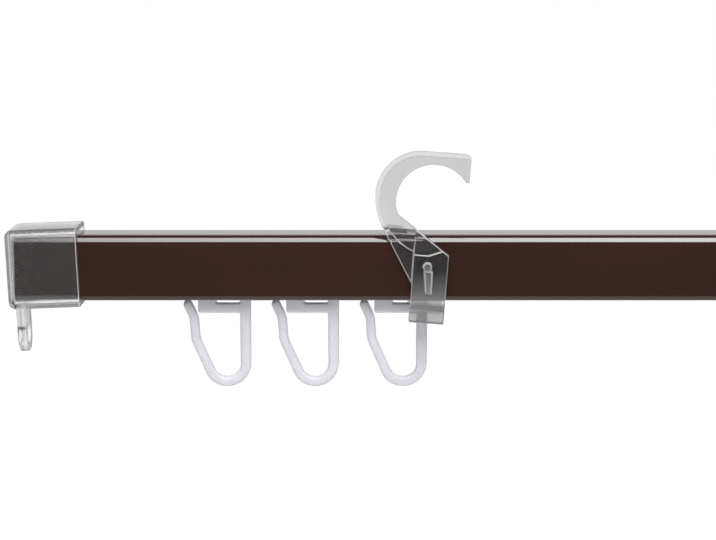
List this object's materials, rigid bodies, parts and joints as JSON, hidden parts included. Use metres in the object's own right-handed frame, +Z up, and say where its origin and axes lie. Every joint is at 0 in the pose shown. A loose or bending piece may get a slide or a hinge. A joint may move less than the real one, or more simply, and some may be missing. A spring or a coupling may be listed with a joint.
{
  "type": "curtain track",
  "caption": "Inner-run curtain rail with push-on end caps, clear clips that hook over a bracket arm, and hook gliders that run along its slot.",
  "frame": {"origin": "centre of the left hanger clip's seat, on the seat's axis and half way through the hook", "axes": "+X along the rail from the left cap to the right cap, +Y from the room to the wall, +Z up"},
  "size_m": [0.4004, 0.0202, 0.0653],
  "materials": {
    "brown_enamel": "gloss dark brown enamel",
    "clear_plastic": "clear moulded plastic",
    "milky_plastic": "milky white moulded plastic, satin"
  },
  "bodies": {
    "track": {"rail": "brown_enamel", "left_end_cap": "clear_plastic", "right_end_cap": "clear_plastic", "left_hanger_clip": "clear_plastic", "right_hanger_clip": "clear_plastic"},
    "glider_1": {"glider_1": "milky_plastic"},
    "glider_2": {"glider_2": "milky_plastic"},
    "glider_3": {"glider_3": "milky_plastic"},
    "glider_4": {"glider_4": "milky_plastic"},
    "glider_5": {"glider_5": "milky_plastic"},
    "glider_6": {"glider_6": "milky_plastic"}
  },
  "joints": [
    {"name": "glider_1_slide", "type": "slide", "parent": "track", "child": "glider_1", "axis": [1, 0, 0], "range_m": [-0.026, 0.005]},
    {"name": "glider_2_slide", "type": "slide", "parent": "track", "child": "glider_2", "axis": [1, 0, 0], "range_m": [-0.005, 0.005]},
    {"name": "glider_3_slide", "type": "slide", "parent": "track", "child": "glider_3", "axis": [1, 0, 0], "range_m": [-0.005, 0.17]},
    {"name": "glider_4_slide", "type": "slide", "parent": "track", "child": "glider_4", "axis": [1, 0, 0], "range_m": [-0.17, 0.005]},
    {"name": "glider_5_slide", "type": "slide", "parent": "track", "child": "glider_5", "axis": [1, 0, 0], "range_m": [-0.005, 0.005]},
    {"name": "glider_6_slide", "type": "slide", "parent": "track", "child": "glider_6", "axis": [1, 0, 0], "range_m": [-0.005, 0.026]}
  ]
}
